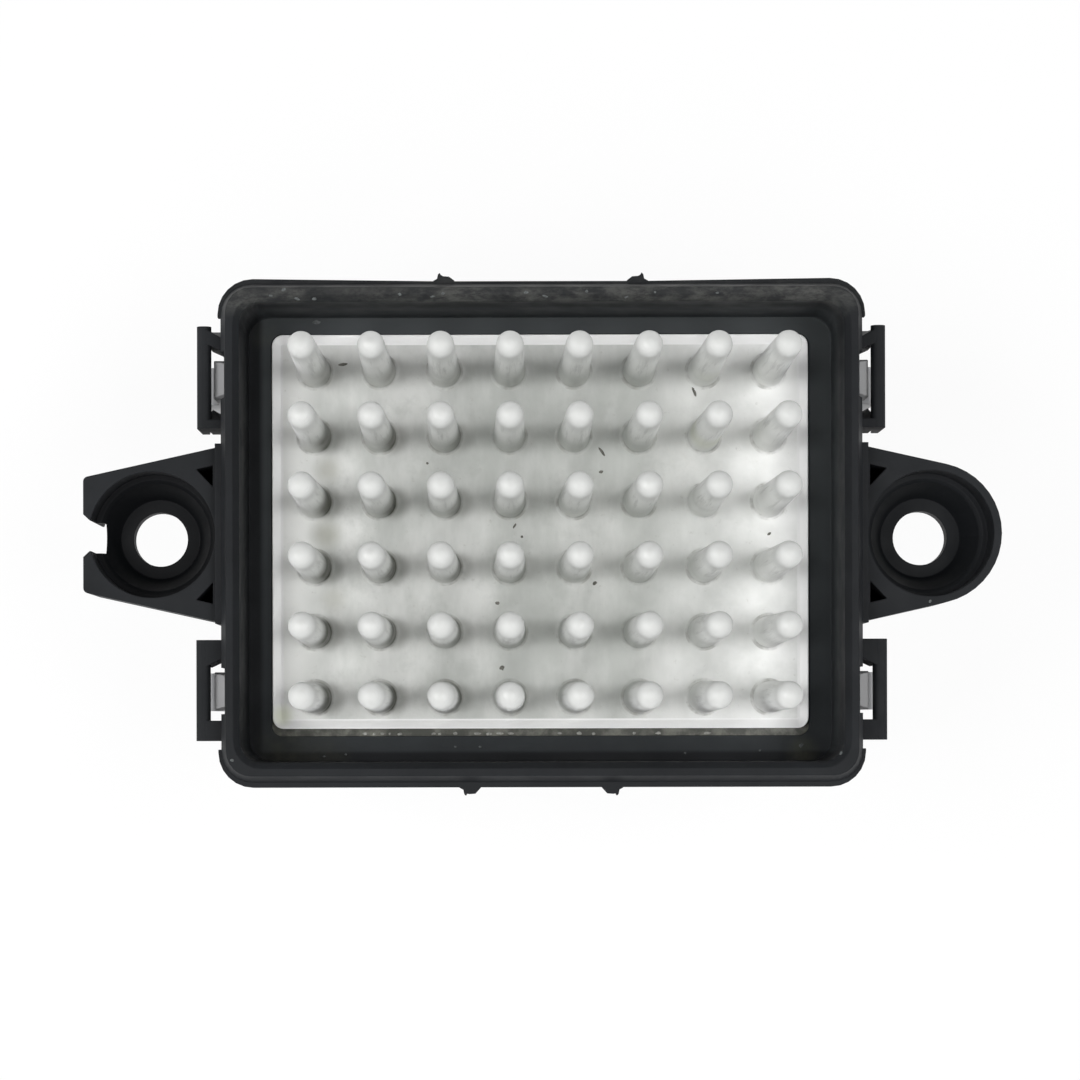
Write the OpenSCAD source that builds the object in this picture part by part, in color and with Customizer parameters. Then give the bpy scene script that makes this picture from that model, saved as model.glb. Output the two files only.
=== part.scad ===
// Blower motor resistor: a linear blower speed regulator for a vehicle's heating and cooling unit.
// It lies on its connector shrouds with the cooling pins pointing up. X runs from ear to ear.

/* [Housing frame] */
// Width over the side walls
housing_w = 74.8; // [73:0.1:75.2]
// Depth over the long walls
housing_d = 58.1; // [57:0.1:58.6]
// Corner radius of the outer walls
housing_r = 3.7; // [2.5:0.1:4.5]
// Width of the well inside the rim
well_w = 70.2; // [69.6:0.1:70.8]
// Depth of the well inside the rim
well_d = 53.4; // [53:0.1:54]
// Width of the slope from the rim's top edge into the well
mouth_w = 0.7; // [0.3:0.05:0.9]
// Height of the back edge of the frame
frame_back = 27; // [26:0.1:28]
// Height of the rim's top edge
rim_top = 46; // [45:0.1:48]
// Height of the sloping outer face of the rim
rim_slope_h = 2.5; // [1.5:0.1:3]
// How far the rim's outer face leans in
rim_lean = 0.8; // [0.4:0.1:1]
// Width over the thin lip round the housing
lip_w = 75.5; // [75.3:0.1:76.4]
// Depth over the thin lip round the housing
lip_d = 59.3; // [58.8:0.1:60]
// Corner radius of the lip
lip_r = 4.1; // [3.8:0.1:4.4]
// How far the lip's upper edge has sunk in along its middle
lip_sag = 0.3; // [0:0.05:0.4]
// Thickness of the lip
lip_t = 1.2; // [0.8:0.1:2]
// Half length of the stretch of side wall that has no lip
lip_gap = 25.2; // [24.8:0.1:26]
// Width of the opening for the cooling plate
opening_w = 64.8; // [64.8:0.1:66]
// Depth of the opening for the cooling plate
opening_d = 48.4; // [48.3:0.1:50]
// How far the opening sits off the middle of the well
opening_shift = 0.5; // [0.4:0.1:0.6]

/* [Fixing ears] */
// Distance from the middle to the square end of the left ear
ear_reach = 53.7; // [53.6:0.05:55]
// Radius of the round end of the right ear
ear_end_r = 8.3; // [8:0.1:9]
// Distance from the middle to each screw hole
hole_reach = 45.65; // [45.3:0.05:46]
// Diameter of the screw holes
hole_dia = 6.5; // [5.5:0.1:7]
// Thickness of each ear
ear_t = 10; // [9:0.1:11]
// Half width of each ear where it meets the wall
ear_root = 10.2; // [9.6:0.1:10.6]
// Radius of the mouth that receives the duct's screw boss
boss_mouth_r = 7.4; // [7.2:0.1:7.5]
// Radius of the tapered boss seat under the mouth
boss_seat_r = 6.4; // [6:0.05:6.8]
// Radius of the boss seat at its floor
boss_floor_r = 4.75; // [4.4:0.05:5.2]
// Depth of the mouth
boss_mouth_h = 4; // [3:0.1:4.5]
// Thickness of the floor that the screw clamps
ear_floor = 2; // [1.5:0.1:2.5]

/* [Snap fixings] */
// Distance from the middle to the outer face of the snap eyes
eye_reach = 40.4; // [40:0.05:41]
// Thickness of a snap eye's outer bar
eye_t = 1.7; // [1.2:0.1:1.8]
// Height of a snap eye along the latch's travel
eye_h = 6.5; // [5:0.1:8]
// Distance from the middle line to the middle of each latch
latch_mid = 18.35; // [17.8:0.05:18.6]
// Width of a latch
latch_w = 4.5; // [4:0.1:5]

/* [Heat sink] */
// Columns of cooling pins
pin_columns = 8; // [6:1:8]
// Rows of cooling pins
pin_rows = 6; // [4:1:6]
// Pin spacing from column to column
pin_pitch_x = 7.8; // [7:0.05:7.9]
// Pin spacing from row to row
pin_pitch_y = 7.86; // [7:0.05:7.9]
// Height of a pin
pin_h = 23; // [15:0.5:26]
// Diameter of a pin at its foot
pin_foot_dia = 3.75; // [3.2:0.05:4.2]
// Diameter of a pin under its domed tip
pin_tip_dia = 3.1; // [2.6:0.05:3.4]
// Width of the raised face that carries the pins
face_w = 64.5; // [64:0.1:64.6]
// Depth of the raised face that carries the pins
face_d = 47.4; // [47:0.1:47.6]
// Height of the raised face
face_top = 33.5; // [33:0.1:34]
// Width of the border round the raised face, which slopes up and outward
border_w = 1; // [0.6:0.1:1.2]
// Height of that border
border_h = 0.35; // [0.2:0.05:0.6]

/* [Rear cover and connectors] */
// Height of the cover's outer back face, and so the depth of the connector shrouds
cover_back = 13; // [12:0.1:14]
// Thickness of the cover's floor and walls
cover_t = 2.2; // [2:0.1:2.4]
// Wall thickness of the connector shrouds
shroud_t = 1.5; // [1.2:0.1:1.8]
// Outer depth of the connector shrouds
shroud_d = 14; // [13:0.1:16]
// Outer width of the motor connector shroud
motor_shroud_w = 22; // [21:0.5:23]
// Outer width of the supply connector shroud
supply_shroud_w = 28; // [27:0.5:29]
// Distance from the middle to the middle of the motor connector
motor_reach = 17.5; // [16:0.5:18]
// Distance from the middle to the middle of the supply connector
supply_reach = 15; // [15:0.5:17]

/* [Contact blades] */
// Width of a power blade
blade_w = 6.3; // [4.8:0.1:6.3]
// Width of the signal blade
signal_w = 2.8; // [2.2:0.1:2.8]
// Thickness of all blades
blade_t = 0.8; // [0.6:0.1:1]
// Height of the blades' tips inside the shrouds
blade_tip = 3; // [2:0.1:5]

/* [Circuit board] */
// Width of the board
board_w = 66; // [60:0.5:67]
// Depth of the board
board_d = 50; // [46:0.5:50.5]
// Height of the board's underside
board_base = 18; // [17:0.1:18.5]
// Thickness of the board
board_t = 1.6; // [1.5:0.1:1.8]

/* [Hidden] */
$fn = 48;

eps = 0.01;
well_r = 2.6;
mouth_h = 1.2 * mouth_w;
partition_top = face_top;
partition_t = 2;
lip_top = rim_top - rim_slope_h;
ear_top = rim_top - 4;
ear_base = ear_top - ear_t;
wall_x = housing_w / 2;
pad_x = wall_x + 0.7;
eye_base = ear_top - eye_h;
ledge_top = 36;
recess_depth = 0.6;
recess_half = 2.7;
sink_back = partition_top - partition_t - 2.5;
sink_w = 68.8;
sink_d = 52;
face_shift = 0.9;
face_r = 1.3;
grid_shift = [0.18, 0.58];
cover_floor = cover_back + cover_t;
cover_w = housing_w - 0.4;
cover_d = housing_d - 0.4;
cover_bevel = 1;
lap_t = 1.1;
lap_h = 1.8;
board_top = board_base + board_t;
board_holes = [[-29.5, 21.5], [29.5, 21.5], [-29.5, -21.5], [29.5, -21.5]];
screw_core = 2.1;
clip_screw_core = 2.5;
transistor_reach = 12;
transistor_y = 7;
lead_y = transistor_y - 12;
clip_y = transistor_y - 4.6;
transistor_t = 4.4;
pad_t = 0.3;
transistor_back = sink_back - pad_t - transistor_t;
clip_t = 1;
motor_blades_x = [-motor_reach - 4.6, -motor_reach + 4.6];
supply_blades_x = [supply_reach - 8.2, supply_reach + 0.6, supply_reach + 8];
socket_y = 0;
can_y = -18;
can_x = 3;
can_l = 12;
can_pitch = 3.5;
shunt_x = [-30, -20.5];
shunt_y = 9;
choke_at = [25.5, -14];
choke_hub = 2.6;
chip_at = [0, 17.5];
diode_at = [24, 11];

// Points on an arc from angle a to angle b
function arc(cx, cy, r, a, b, steps = 6) = [
    for (i = [0:steps]) [cx + r * cos(a + (b - a) * i / steps), cy + r * sin(a + (b - a) * i / steps)]
];

// Outline of a rectangle with round corners, centred
function rounded(w, d, r, steps = 6) = concat(
    arc(w / 2 - r, d / 2 - r, r, 0, 90, steps),
    arc(r - w / 2, d / 2 - r, r, 90, 180, steps),
    arc(r - w / 2, r - d / 2, r, 180, 270, steps),
    arc(w / 2 - r, r - d / 2, r, 270, 360, steps)
);

module rounded_block(w, d, r, base, top) {
    translate([0, 0, base])
        linear_extrude(height = top - base)
            polygon(rounded(w, d, r));
}

// A solid between two outlines that have the same number of points
module loft(low, high, base, top) {
    n = len(low);
    polyhedron(
        points = concat([for (p = low) [p[0], p[1], base]], [for (p = high) [p[0], p[1], top]]),
        faces = concat(
            [[for (i = [0:n - 1]) i]],
            [[for (i = [n - 1:-1:0]) n + i]],
            [for (i = [0:n - 1]) [i, n + i, n + (i + 1) % n]],
            [for (i = [0:n - 1]) [i, n + (i + 1) % n, (i + 1) % n]]
        )
    );
}

// The part of the cover's edge that laps into the frame, smaller all round by the play
module lap_block(play, base) {
    lap = lap_t - play;
    rounded_block(well_w + 2 * lap, well_d + 2 * lap, well_r + lap_t, base, frame_back + lap_h);
}

module block(from, to) {
    translate(from)
        cube(to - from);
}

module both_sides() {
    children();
    mirror([1, 0, 0])
        children();
}

module both_ends() {
    children();
    mirror([0, 1, 0])
        children();
}

// Frame: one black moulding

// Outline of the lip, whose upper edge has sunk in between two points
function lip_outline() =
    let (
        x = lip_w / 2 - lip_r,
        y = lip_d / 2 - lip_r,
        sunk = [12, lip_d / 2 - lip_sag]
    )
    concat(
        arc(x, y, lip_r, 0, 90), [sunk, [-sunk[0], sunk[1]]],
        arc(-x, y, lip_r, 90, 180), arc(-x, -y, lip_r, 180, 270), arc(x, -y, lip_r, 270, 360)
    );

// The walls, the sloping rim and the thin lip, still solid inside
module housing_shell() {
    rounded_block(housing_w, housing_d, housing_r, frame_back, lip_top);
    loft(
        rounded(housing_w, housing_d, housing_r),
        rounded(housing_w - 2 * rim_lean, housing_d - 2 * rim_lean, housing_r - rim_lean),
        lip_top, rim_top
    );
    difference() {
        translate([0, 0, lip_top - lip_t])
            linear_extrude(height = lip_t)
                polygon(lip_outline());
        both_sides()
            block([wall_x - eps, -lip_gap, lip_top - 2 * lip_t], [lip_w, lip_gap, lip_top + 1]);
    }
}

// Outline of the right ear: straight flanks that run into a round end
function round_ear() =
    let (
        back = hole_reach - pad_x,
        far = sqrt(back * back + ear_root * ear_root),
        meet = 180 - atan2(ear_root, back) - acos(ear_end_r / far)
    )
    concat(
        [[wall_x - 1, -ear_root], [pad_x, -ear_root]],
        arc(hole_reach, 0, ear_end_r, -meet, meet, 18),
        [[pad_x, ear_root], [wall_x - 1, ear_root]]
    );

// Outline of the left ear, drawn on the right: straight flanks and a square end
function square_ear() =
    let (
        corner = 0.6,
        end_half = 6.73,
        lean = atan2(ear_root - end_half, ear_reach - pad_x),
        middle = end_half - corner * (1 - sin(lean)) / cos(lean)
    )
    concat(
        [[wall_x - 1, -ear_root], [pad_x, -ear_root]],
        arc(ear_reach - corner, -middle, corner, lean - 90, 0, 4),
        arc(ear_reach - corner, middle, corner, 0, 90 - lean, 4),
        [[pad_x, ear_root], [wall_x - 1, ear_root]]
    );

module ear_body(outline) {
    translate([0, 0, ear_base])
        linear_extrude(height = ear_t)
            polygon(outline);
    block([wall_x - 1, -ear_root - 0.3, ear_base], [pad_x, ear_root + 0.3, lip_top]);
}

// What is taken out of an ear: the boss seat, the screw hole, two corner pockets and a back groove
module ear_cuts() {
    ledge = ear_top - boss_mouth_h;
    translate([hole_reach, 0, 0]) {
        translate([0, 0, ear_base - 1])
            cylinder(d = hole_dia, h = ear_t + 2);
        rotate_extrude()
            polygon([
                [0, ear_base + ear_floor], [boss_floor_r, ear_base + ear_floor],
                [boss_seat_r, ledge - 0.4], [boss_seat_r + 0.4, ledge], [boss_mouth_r, ledge],
                [boss_mouth_r, ear_top + 1], [0, ear_top + 1]
            ]);
        translate([0, 0, ear_base - 1])
            difference() {
                cylinder(r = boss_mouth_r - 0.1, h = 5.5);
                cylinder(r = boss_seat_r + 0.1, h = 5.5);
            }
    }
    both_ends()
        translate([0, 0, ear_top - 8])
            linear_extrude(height = 9)
                polygon([[pad_x + 0.4, 8.1], [pad_x + 0.4, 5.6], [pad_x + 2.35, 7.65]]);
}

// The open slot in the end of the left ear, drawn on the right
module ear_slot() {
    slot_half = 1.8;
    floor_x = hole_reach + 6.05;
    translate([0, -0.1, ear_base - 1])
        linear_extrude(height = ear_t + 2)
            polygon([
                [floor_x, -slot_half], [ear_reach - 0.75, -slot_half], [ear_reach + 0.1, -slot_half - 0.8],
                [ear_reach + 0.1, slot_half + 0.8], [ear_reach - 0.75, slot_half], [floor_x, slot_half]
            ]);
}

// The outer bar of a snap eye on the right wall: rounded above, drafted on its inner face
module eye_bar(reach, from, to) {
    round_r = 0.65;
    translate([0, to, eye_base])
        rotate([90, 0, 0])
            linear_extrude(height = to - from)
                polygon(concat(
                    [[reach - eye_t / 2, 0], [reach, 0]],
                    arc(reach - round_r, eye_h - round_r, round_r, 0, 90, 5),
                    arc(reach - eye_t + round_r, eye_h - round_r, round_r, 90, 180, 5)
                ));
}

// Outline of an arm between the wall and that bar, with its edges along Y at the wall and at the bar
function arm_outline(reach, at_wall, at_bar) =
    let (
        root_x = wall_x - 0.2,
        bar_x = reach - eye_t + 0.5
    )
    [[root_x, at_wall[0]], [bar_x, at_bar[0]], [bar_x, at_bar[1]], [root_x, at_wall[1]]];

// Such an arm, whose far side slopes out downward by foot, given at the wall and at the bar
module eye_arm(reach, at_wall, at_bar, foot = [0, 0]) {
    loft(
        arm_outline(reach, at_wall + [0, foot[0]], at_bar + [0, foot[1]]),
        arm_outline(reach, at_wall, at_bar),
        eye_base, ear_top
    );
}

// The four snap eyes, which a latch of the rear cover passes each, drawn on the right
module snap_eyes() {
    eye_bar(eye_reach, 12.45, 24.4);
    eye_arm(eye_reach, [21.45, 22.9], [22.35, 24], [1.8, 0.7]);
    eye_arm(eye_reach, [12.45, 13.45], [12.45, 13.45], [0.85, 2]);
    eye_bar(eye_reach + 0.15, -24.2, -12.35);
    eye_arm(eye_reach + 0.15, [-14.45, -12.35], [-15.45, -12.35]);
    eye_arm(eye_reach + 0.15, [-24.2, -21.8], [-24.2, -21.8]);
}

// The dent in the wall beside each latch, with the ledge that its hook catches
module latch_recess() {
    for (side = [-1, 1])
        block(
            [wall_x - recess_depth, side * latch_mid - recess_half, ledge_top],
            [wall_x + 1, side * latch_mid + recess_half, rim_top + 1]
        );
}

// A torn lug on the lip, left by the carrier strip
module lip_lug(shoulder) {
    translate([0, lip_d / 2 - eps, lip_top - lip_t])
        linear_extrude(height = lip_t)
            polygon([
                [-0.8, -0.3], [-0.75, 0.05], [-0.3, 0.3], [-0.2, 0.8], [0, 1], [0.15, 0.75],
                [0.4, shoulder], [1.1, shoulder - 0.05], [1.7, 0.1], [1.9, -0.3]
            ]);
}

module frame() {
    color([0.16, 0.165, 0.17])
        difference() {
            union() {
                housing_shell();
                ear_body(round_ear());
                mirror([1, 0, 0])
                    ear_body(square_ear());
                both_sides()
                    snap_eyes();
                translate([-11.85, -lip_sag, 0])
                    lip_lug(0.6);
                mirror([1, 0, 0])
                    translate([-11.7, -lip_sag, 0])
                        lip_lug(0.6);
                mirror([0, 1, 0]) {
                    translate([-8.9, 0, 0])
                        lip_lug(0.8);
                    mirror([1, 0, 0])
                        translate([-8.7, 0, 0])
                            lip_lug(0.8);
                }
            }
            rounded_block(well_w, well_d, well_r, partition_top, rim_top + 1);
            loft(
                rounded(well_w - 2 * eps, well_d - 2 * eps, well_r - eps),
                rounded(well_w + 2 * mouth_w, well_d + 2 * mouth_w, well_r + mouth_w),
                rim_top - mouth_h, rim_top + eps
            );
            rounded_block(well_w, well_d, well_r, frame_back - 1, partition_top - partition_t);
            lap_block(0, frame_back - 1);
            translate([0, opening_shift, 0])
                rounded_block(opening_w, opening_d, face_r, frame_back, rim_top);
            both_sides() {
                ear_cuts();
                latch_recess();
            }
            mirror([1, 0, 0])
                ear_slot();
        }
}

// Heat sink: one aluminium die casting

// A cooling pin: a flared foot, a drafted shank and a domed tip
module cooling_pin() {
    foot = pin_foot_dia / 2;
    tip = pin_tip_dia / 2;
    rotate_extrude()
        polygon(concat(
            [[0, -0.5], [foot + 0.45, -0.5], [foot + 0.45, 0], [foot + 0.12, 0.15], [foot, 0.5]],
            arc(0, pin_h - tip, tip, 0, 90, 6)
        ));
}

module heat_sink() {
    color([0.80, 0.81, 0.80]) {
        rounded_block(sink_w, sink_d, 2.4, sink_back, partition_top - partition_t);
        // Boss that takes the clip's screw
        translate([0, clip_y, transistor_back])
            difference() {
                cylinder(d = 7, h = sink_back - transistor_back + 0.5);
                cylinder(d = clip_screw_core, h = 2 * (sink_back - transistor_back) - 0.6);
            }
        translate([0, face_shift, 0])
            difference() {
                rounded_block(face_w, face_d, face_r, sink_back + 1, face_top + border_h);
                loft(
                    rounded(face_w - 2 * border_w, face_d - 2 * border_w, face_r - border_w + 0.1),
                    rounded(face_w, face_d, face_r),
                    face_top, face_top + border_h + 0.05
                );
            }
        for (column = [0:pin_columns - 1])
            for (row = [0:pin_rows - 1])
                translate([
                    grid_shift[0] + (column - (pin_columns - 1) / 2) * pin_pitch_x,
                    grid_shift[1] + (row - (pin_rows - 1) / 2) * pin_pitch_y,
                    face_top
                ])
                    cooling_pin();
    }
}

// Sealant bead: grey silicone in the gap between the casting and the opening's edge
module sealant_bead() {
    color([0.55, 0.55, 0.52])
        difference() {
            translate([0, opening_shift, 0])
                rounded_block(opening_w, opening_d, face_r, partition_top - partition_t, partition_top - 0.5);
            translate([0, face_shift, 0])
                rounded_block(face_w, face_d, face_r, sink_back, rim_top);
        }
}

// Rear cover: one grey moulding with the connector shrouds and four latches

// The tray, still solid inside, with the rebated edge that laps into the frame
module cover_shell() {
    loft(
        rounded(cover_w - 2 * cover_bevel, cover_d - 2 * cover_bevel, housing_r - cover_bevel),
        rounded(cover_w, cover_d, housing_r),
        cover_back, cover_back + cover_bevel
    );
    rounded_block(cover_w, cover_d, housing_r, cover_back + cover_bevel, frame_back);
    lap_block(0.1, frame_back - 1);
}

// A latch on the right: a stout root, a slim leg and a sloping hook that stands in a snap eye
module latch(middle) {
    hook_top = ear_top - 0.5;
    hook_in = wall_x - recess_depth + 0.05;
    leg_in = wall_x + 0.1;
    leg_out = eye_reach - eye_t - 0.2;
    root_out = eye_reach - 0.25;
    half = latch_w / 2;
    corner = 0.5;
    intersection() {
        translate([0, middle + half, 0])
            rotate([90, 0, 0])
                linear_extrude(height = latch_w)
                    polygon([
                        [cover_w / 2 - 1, cover_floor + 2], [cover_w / 2, cover_floor + 2],
                        [root_out, cover_floor + 5], [root_out, eye_base - 2], [leg_out, eye_base - 0.5],
                        [leg_out, hook_top - 1], [hook_in + 0.1, hook_top], [hook_in, hook_top - 0.1],
                        [hook_in, ledge_top], [leg_in, ledge_top],
                        [leg_in, frame_back], [cover_w / 2 - 1, frame_back]
                    ]);
        translate([cover_w / 2 - 2, middle, 0])
            rotate([90, 0, 90])
                linear_extrude(height = 8)
                    polygon([
                        [-half - eps, cover_floor], [half + eps, cover_floor],
                        [half + eps, hook_top - corner - 1], [half - corner, hook_top + eps],
                        [corner - half, hook_top + eps], [-half - eps, hook_top - corner - 1]
                    ]);
    }
}

// A connector shroud below the cover, open at the bottom
module shroud(x, w) {
    translate([x, socket_y, 0])
        rounded_block(w, shroud_d, 2, 0, cover_back + 1);
    // Ramp that the plug's lock clicks over
    translate([x - 3, socket_y - shroud_d / 2, 0])
        rotate([90, 0, 90])
            linear_extrude(height = 6)
                polygon([[0.2, 4], [0, 4], [-1.6, 6.8], [-1.6, 7.6], [0, 7.6], [0.2, 7.6]]);
}

// The socket inside a shroud, with a keying rib left standing on the far wall
module socket(x, w, key_x) {
    translate([x, socket_y, 0])
        difference() {
            rounded_block(w - 2 * shroud_t, shroud_d - 2 * shroud_t, 1, -1, cover_back);
            block(
                [key_x - 0.7, shroud_d / 2 - shroud_t - 1.2, 1.5],
                [key_x + 0.7, shroud_d / 2, cover_back + 1]
            );
        }
}

module rear_cover() {
    color([0.60, 0.60, 0.61])
        difference() {
            union() {
                difference() {
                    cover_shell();
                    rounded_block(
                        cover_w - 2 * cover_t, cover_d - 2 * cover_t, 2.4,
                        cover_floor, frame_back + 5
                    );
                }
                both_sides()
                    for (side = [-1, 1])
                        latch(side * latch_mid);
                shroud(-motor_reach, motor_shroud_w);
                shroud(supply_reach, supply_shroud_w);
                for (hole = board_holes)
                    translate([hole[0], hole[1], cover_floor - 1])
                        cylinder(d = 6, h = board_base - cover_floor + 1);
                both_sides()
                    for (y = [-12, 12])
                        press_rib(y);
            }
            socket(-motor_reach, motor_shroud_w, 0);
            socket(supply_reach, supply_shroud_w, 3.5);
            for (x = concat(motor_blades_x, [supply_blades_x[0], supply_blades_x[1]]))
                blade_slot(x, blade_w);
            blade_slot(supply_blades_x[2], signal_w);
            for (hole = board_holes)
                translate([hole[0], hole[1], cover_back + 1.2])
                    cylinder(d = screw_core, h = board_base);
        }
}

// A rib on the right wall that presses the casting into the frame
module press_rib(y) {
    inner = 33.4;
    translate([0, y + 1.5, 0])
        rotate([90, 0, 0])
            linear_extrude(height = 3)
                polygon([
                    [inner, cover_floor - 1], [cover_w / 2 - 1, cover_floor - 1],
                    [cover_w / 2 - 1, frame_back], [well_w / 2 - 0.2, frame_back],
                    [well_w / 2 - 0.2, sink_back], [inner, sink_back]
                ]);
}

module blade_slot(x, w) {
    block(
        [x - w / 2, socket_y - blade_t / 2, cover_back - 1],
        [x + w / 2, socket_y + blade_t / 2, cover_floor + 1]
    );
}

// Contact blades: stamped tinned brass, pressed through the cover and soldered to the board

module blade(x, w) {
    tail = 1.3;
    color([0.76, 0.74, 0.68])
        translate([x, socket_y + blade_t / 2, 0])
            rotate([90, 0, 0])
                linear_extrude(height = blade_t)
                    polygon([
                        [0.8 - w / 2, blade_tip], [w / 2 - 0.8, blade_tip], [w / 2, blade_tip + 1.4],
                        [w / 2, cover_floor + 1], [tail, cover_floor + 1], [tail, board_top + 1],
                        [tail - 0.4, board_top + 1.5], [0.4 - tail, board_top + 1.5],
                        [-tail, board_top + 1], [-tail, cover_floor + 1], [-w / 2, cover_floor + 1],
                        [-w / 2, blade_tip + 1.4]
                    ]);
}

module motor_blade_negative() {
    blade(motor_blades_x[0], blade_w);
}

module motor_blade_positive() {
    blade(motor_blades_x[1], blade_w);
}

module supply_blade() {
    blade(supply_blades_x[0], blade_w);
}

module ground_blade() {
    blade(supply_blades_x[1], blade_w);
}

module signal_blade() {
    blade(supply_blades_x[2], signal_w);
}

// Circuit board and what is screwed or soldered to it

module circuit_board() {
    color([0.10, 0.36, 0.20])
        difference() {
            rounded_block(board_w, board_d, 2, board_base, board_top);
            for (hole = board_holes)
                board_hole(hole, 2.9);
            board_hole([0, clip_y], 6.5);
            for (x = concat(motor_blades_x, supply_blades_x))
                block(
                    [x - 1.3, socket_y - blade_t / 2, board_base - 1],
                    [x + 1.3, socket_y + blade_t / 2, board_top + 1]
                );
            for (side = [-1, 1])
                for (lead = [-1:1])
                    board_hole([side * transistor_reach + lead * 2.54, lead_y], 1.2);
            for (x = [-can_x, can_x])
                for (side = [-1, 1])
                    board_hole([x, can_y + side * can_pitch / 2], 0.9);
            for (x = shunt_x)
                block([x - 0.4, shunt_y - 1.5, board_base - 1], [x + 0.4, shunt_y + 1.5, board_top + 1]);
        }
}

module board_hole(place, dia) {
    translate([place[0], place[1], board_base - 1])
        cylinder(d = dia, h = board_t + 2);
}

// A cross-headed screw with its head's underside at z = 0 and its shank pointing down
module cross_screw(head_dia, head_h, shank_dia, shank_l) {
    difference() {
        union() {
            cylinder(d1 = head_dia, d2 = head_dia - 1.2, h = head_h);
            translate([0, 0, -shank_l])
                cylinder(d = shank_dia, h = shank_l + eps);
        }
        for (turn = [0, 90])
            rotate([0, 0, turn])
                block([-1.3, -0.3, head_h - 1], [1.3, 0.3, head_h + 1]);
    }
}

module board_screws() {
    color([0.70, 0.70, 0.72])
        for (hole = board_holes)
            translate([hole[0], hole[1], board_top])
                cross_screw(5, 1.6, screw_core, board_top - cover_back - 1.6);
}

// A power transistor: metal tab against the casting, moulded body and three bent leads
module power_transistor(side) {
    half = 5.1;
    body_l = 9.2;
    tab_t = 1.3;
    top = transistor_back + transistor_t;
    translate([side * transistor_reach, transistor_y, 0]) {
        color([0.12, 0.12, 0.13])
            block([-half, -body_l, transistor_back], [half, 0, top - tab_t + 0.1]);
        color([0.72, 0.72, 0.74])
            difference() {
                block([-half, -body_l, top - tab_t], [half, 6.3, top]);
                translate([0, 3, transistor_back])
                    cylinder(d = 3.6, h = transistor_t + 1);
            }
        color([0.72, 0.72, 0.74])
            for (lead = [-1:1])
                translate([lead * 2.54 - 0.4, 0, 0])
                    rotate([90, 0, 90])
                        linear_extrude(height = 0.8)
                            polygon([
                                [0.2 - body_l, 25.7], [lead_y - transistor_y - 0.25, 25.7],
                                [lead_y - transistor_y - 0.25, board_base - 1.2],
                                [lead_y - transistor_y + 0.25, board_base - 1.2],
                                [lead_y - transistor_y + 0.25, 25.2], [0.2 - body_l, 25.2]
                            ]);
    }
}

module power_transistor_left() {
    power_transistor(-1);
}

module power_transistor_right() {
    power_transistor(1);
}

module thermal_pad(side) {
    color([0.78, 0.80, 0.84])
        block(
            [side * transistor_reach - 6, transistor_y - 9.8, sink_back - pad_t],
            [side * transistor_reach + 6, transistor_y + 6.8, sink_back]
        );
}

module thermal_pad_left() {
    thermal_pad(-1);
}

module thermal_pad_right() {
    thermal_pad(1);
}

// Spring clip: a steel leaf that one screw pulls against both transistors
module transistor_clip() {
    reach = transistor_reach + 5.5;
    color([0.62, 0.63, 0.66])
        translate([0, clip_y, 0])
            difference() {
                translate([0, 4, 0])
                    rotate([90, 0, 0])
                        linear_extrude(height = 8)
                            polygon([
                                [-reach, transistor_back], [reach, transistor_back],
                                [reach + 1.2, transistor_back - 1], [reach + 0.6, transistor_back - 1.7],
                                [reach - 0.4, transistor_back - clip_t],
                                [0.4 - reach, transistor_back - clip_t],
                                [-reach - 0.6, transistor_back - 1.7], [-reach - 1.2, transistor_back - 1]
                            ]);
                translate([0, 0, transistor_back - 2])
                    cylinder(d = 3.2, h = 3);
            }
}

module clip_screw() {
    color([0.70, 0.70, 0.72])
        translate([0, clip_y, transistor_back - clip_t])
            rotate([180, 0, 0])
                cross_screw(5.6, 2, clip_screw_core, clip_t + 4);
}

// A capacitor can lying along X towards one side, with its two leads turned down into the board
module lying_can(toward) {
    r = 4;
    z = board_top + r;
    translate([toward * can_x, can_y, 0]) {
        color([0.16, 0.18, 0.26])
            translate([toward * 1.8, 0, z])
                rotate([0, toward * 90, 0])
                    rotate_extrude()
                        polygon([
                            [0, 0], [r - 0.4, 0], [r, 0.4], [r, 1.4], [r - 0.35, 1.9], [r, 2.4],
                            [r, can_l - 0.4], [r - 0.4, can_l], [0, can_l]
                        ]);
        color([0.74, 0.74, 0.74])
            for (side = [-1, 1])
                translate([0, side * can_pitch / 2 + 0.3, 0])
                    rotate([90, 0, 0])
                        linear_extrude(height = 0.6)
                            polygon([
                                [toward * 2, z - 0.3], [toward * -0.3, z - 0.3],
                                [toward * -0.3, board_base - 1], [toward * 0.3, board_base - 1],
                                [toward * 0.3, z - 0.9], [toward * 2, z - 0.9]
                            ]);
    }
}

module supply_capacitor() {
    lying_can(1);
}

module motor_capacitor() {
    lying_can(-1);
}

// Choke: a ferrite drum with an enamelled copper winding
module choke_core() {
    color([0.22, 0.22, 0.23])
        translate([choke_at[0], choke_at[1], board_top])
            rotate_extrude()
                polygon([
                    [0, 0], [4.8, 0], [4.8, 1.2], [choke_hub, 1.2],
                    [choke_hub, 6.8], [4.8, 6.8], [4.8, 8], [0, 8]
                ]);
}

module choke_winding() {
    turn_r = 0.4;
    color([0.72, 0.40, 0.20])
        translate([choke_at[0], choke_at[1], board_top + 1.2])
            rotate_extrude()
                polygon(concat(
                    [[choke_hub, 0]],
                    [for (turn = [0:6]) for (p = arc(3.8, turn_r * (2 * turn + 1), turn_r, -80, 80, 4)) p],
                    [[choke_hub, 5.6]]
                ));
}

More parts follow.
